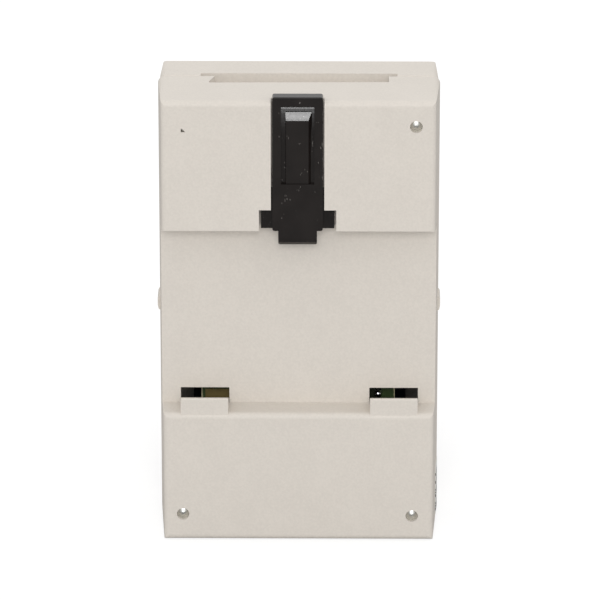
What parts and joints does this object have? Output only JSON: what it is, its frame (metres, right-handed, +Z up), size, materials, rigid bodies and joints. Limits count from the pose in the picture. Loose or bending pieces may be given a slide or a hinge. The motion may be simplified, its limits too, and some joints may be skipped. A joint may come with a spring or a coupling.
{
  "type": "prepaid electricity meter",
  "caption": "Rail-mounted prepaid electricity meter: two-part case with a rear rail channel, fixed hooks and a sliding latch, display, keypad and covered screw terminals.",
  "frame": {"origin": "middle of the footprint, level with the underside of the case", "axes": "+Z up with the rail latch at the top, -Y towards the display and keys, +Y towards the mounting rail, +X to the right when facing the display"},
  "size_m": [0.0534, 0.065, 0.0887],
  "materials": {
    "shell_plastic": "fine moulded grain, light warm grey",
    "latch_plastic": "black, smooth moulded",
    "cover_plastic": "fine moulded grain, light warm grey",
    "screw_steel": "zinc-plated",
    "cage_steel": "yellow-passivated zinc",
    "copper": "bare copper",
    "shunt_metal": "resistance alloy",
    "solder": "bright solder",
    "board_laminate": "green solder mask over glass laminate",
    "window": "clear polycarbonate",
    "lcd": "reflective liquid crystal",
    "white_plastic": "white light guide",
    "film": "printed polycarbonate film",
    "label": "printed paper label",
    "rubber_mat": "silicone",
    "key_plastic": "satin",
    "key_accent": "satin",
    "red_led": "diffused epoxy",
    "green_led": "diffused epoxy",
    "dark_plastic": "glass-filled",
    "aux_plastic": "satin",
    "capacitor_yellow": "potted box",
    "varistor_blue": "dipped epoxy",
    "can_sleeve": "shrink sleeve",
    "cell_sleeve": "shrink sleeve",
    "winding_tape": "polyester tape",
    "toroid_case": "moulded",
    "ribbon": "flat ribbon"
  },
  "bodies": {
    "case": {"rear_shell": "shell_plastic", "front_shell": "shell_plastic", "housing_screws": "screw_steel", "side_label": "label", "display_window": "window", "face_film": "film", "lcd_glass": "lcd", "lcd_frame": "white_plastic", "display_board": "board_laminate", "key_mat": "rubber_mat", "pulse_led": "red_led", "status_led": "green_led", "buzzer": "dark_plastic", "terminal_block": "dark_plastic", "line_busbar": "copper", "load_busbar": "copper", "neutral_busbar": "copper", "shunt": "shunt_metal", "current_transformer": "toroid_case", "disconnect_relay": "dark_plastic", "main_board": "board_laminate", "board_screws": "screw_steel", "solder_joints": "solder", "mains_transformer": "winding_tape", "suppression_capacitor": "capacitor_yellow", "varistor": "varistor_blue", "electrolytic_capacitors": "can_sleeve", "backup_cell": "cell_sleeve", "metering_chip": "dark_plastic", "microcontroller": "dark_plastic", "crystal": "screw_steel", "optocouplers": "dark_plastic", "ribbon_cable": "ribbon", "ribbon_connectors": "dark_plastic", "aux_terminal_block": "aux_plastic", "aux_contacts": "copper"},
    "latch": {"rail_latch": "latch_plastic"},
    "lower_cover": {"terminal_cover": "cover_plastic"},
    "upper_cover": {"aux_cover": "cover_plastic"},
    "key_1_body": {"key_1": "key_plastic"},
    "key_2_body": {"key_2": "key_plastic"},
    "key_3_body": {"key_3": "key_plastic"},
    "key_4_body": {"key_4": "key_plastic"},
    "key_5_body": {"key_5": "key_plastic"},
    "key_6_body": {"key_6": "key_plastic"},
    "key_7_body": {"key_7": "key_plastic"},
    "key_8_body": {"key_8": "key_plastic"},
    "key_9_body": {"key_9": "key_plastic"},
    "key_0_body": {"key_0": "key_plastic"},
    "key_clear_body": {"key_clear": "key_accent"},
    "key_enter_body": {"key_enter": "key_accent"},
    "cage_1": {"clamp_cage_1": "cage_steel"},
    "screw_1": {"clamp_screw_1": "screw_steel"},
    "cage_2": {"clamp_cage_2": "cage_steel"},
    "screw_2": {"clamp_screw_2": "screw_steel"},
    "cage_3": {"clamp_cage_3": "cage_steel"},
    "screw_3": {"clamp_screw_3": "screw_steel"},
    "cage_4": {"clamp_cage_4": "cage_steel"},
    "screw_4": {"clamp_screw_4": "screw_steel"}
  },
  "joints": [
    {"name": "latch_slide", "type": "slide", "parent": "case", "child": "latch", "axis": [0, 0, 1], "range_m": [0, 0.003], "stiffness_N_per_m": 2000},
    {"name": "terminal_cover_hinge", "type": "hinge", "parent": "case", "child": "lower_cover", "pos_m": [0, -0.01365, 0.02025], "axis": [-1, 0, 0], "range_deg": [0, 88]},
    {"name": "aux_cover_hinge", "type": "hinge", "parent": "case", "child": "upper_cover", "pos_m": [0, -0.01365, 0.0776], "axis": [-1, 0, 0], "range_deg": [0, 100]},
    {"name": "key_1_press", "type": "slide", "parent": "case", "child": "key_1_body", "axis": [0, 1, 0], "range_m": [0, 0.0008], "stiffness_N_per_m": 1500},
    {"name": "key_2_press", "type": "slide", "parent": "case", "child": "key_2_body", "axis": [0, 1, 0], "range_m": [0, 0.0008], "stiffness_N_per_m": 1500},
    {"name": "key_3_press", "type": "slide", "parent": "case", "child": "key_3_body", "axis": [0, 1, 0], "range_m": [0, 0.0008], "stiffness_N_per_m": 1500},
    {"name": "key_4_press", "type": "slide", "parent": "case", "child": "key_4_body", "axis": [0, 1, 0], "range_m": [0, 0.0008], "stiffness_N_per_m": 1500},
    {"name": "key_5_press", "type": "slide", "parent": "case", "child": "key_5_body", "axis": [0, 1, 0], "range_m": [0, 0.0008], "stiffness_N_per_m": 1500},
    {"name": "key_6_press", "type": "slide", "parent": "case", "child": "key_6_body", "axis": [0, 1, 0], "range_m": [0, 0.0008], "stiffness_N_per_m": 1500},
    {"name": "key_7_press", "type": "slide", "parent": "case", "child": "key_7_body", "axis": [0, 1, 0], "range_m": [0, 0.0008], "stiffness_N_per_m": 1500},
    {"name": "key_8_press", "type": "slide", "parent": "case", "child": "key_8_body", "axis": [0, 1, 0], "range_m": [0, 0.0008], "stiffness_N_per_m": 1500},
    {"name": "key_9_press", "type": "slide", "parent": "case", "child": "key_9_body", "axis": [0, 1, 0], "range_m": [0, 0.0008], "stiffness_N_per_m": 1500},
    {"name": "key_0_press", "type": "slide", "parent": "case", "child": "key_0_body", "axis": [0, 1, 0], "range_m": [0, 0.0008], "stiffness_N_per_m": 1500},
    {"name": "key_clear_press", "type": "slide", "parent": "case", "child": "key_clear_body", "axis": [0, 1, 0], "range_m": [0, 0.0008], "stiffness_N_per_m": 1500},
    {"name": "key_enter_press", "type": "slide", "parent": "case", "child": "key_enter_body", "axis": [0, 1, 0], "range_m": [0, 0.0008], "stiffness_N_per_m": 1500},
    {"name": "screw_1_turn", "type": "hinge", "parent": "case", "child": "screw_1", "pos_m": [-0.0153, -0.0075, 0.0134], "axis": [0, 1, 0], "range_deg": [0, 1800]},
    {"name": "cage_1_rise", "type": "slide", "parent": "case", "child": "cage_1", "axis": [0, -1, 0], "range_m": [0, 0.004]},
    {"name": "screw_2_turn", "type": "hinge", "parent": "case", "child": "screw_2", "pos_m": [-0.0051, -0.0075, 0.0134], "axis": [0, 1, 0], "range_deg": [0, 1800]},
    {"name": "cage_2_rise", "type": "slide", "parent": "case", "child": "cage_2", "axis": [0, -1, 0], "range_m": [0, 0.004]},
    {"name": "screw_3_turn", "type": "hinge", "parent": "case", "child": "screw_3", "pos_m": [0.0051, -0.0075, 0.0134], "axis": [0, 1, 0], "range_deg": [0, 1800]},
    {"name": "cage_3_rise", "type": "slide", "parent": "case", "child": "cage_3", "axis": [0, -1, 0], "range_m": [0, 0.004]},
    {"name": "screw_4_turn", "type": "hinge", "parent": "case", "child": "screw_4", "pos_m": [0.0153, -0.0075, 0.0134], "axis": [0, 1, 0], "range_deg": [0, 1800]},
    {"name": "cage_4_rise", "type": "slide", "parent": "case", "child": "cage_4", "axis": [0, -1, 0], "range_m": [0, 0.004]}
  ],
  "couplings": [
    {"joint": "screw_1_turn", "follows": "cage_1_rise", "rad_per_m": 7854},
    {"joint": "screw_2_turn", "follows": "cage_2_rise", "rad_per_m": 7854},
    {"joint": "screw_3_turn", "follows": "cage_3_rise", "rad_per_m": 7854},
    {"joint": "screw_4_turn", "follows": "cage_4_rise", "rad_per_m": 7854}
  ]
}
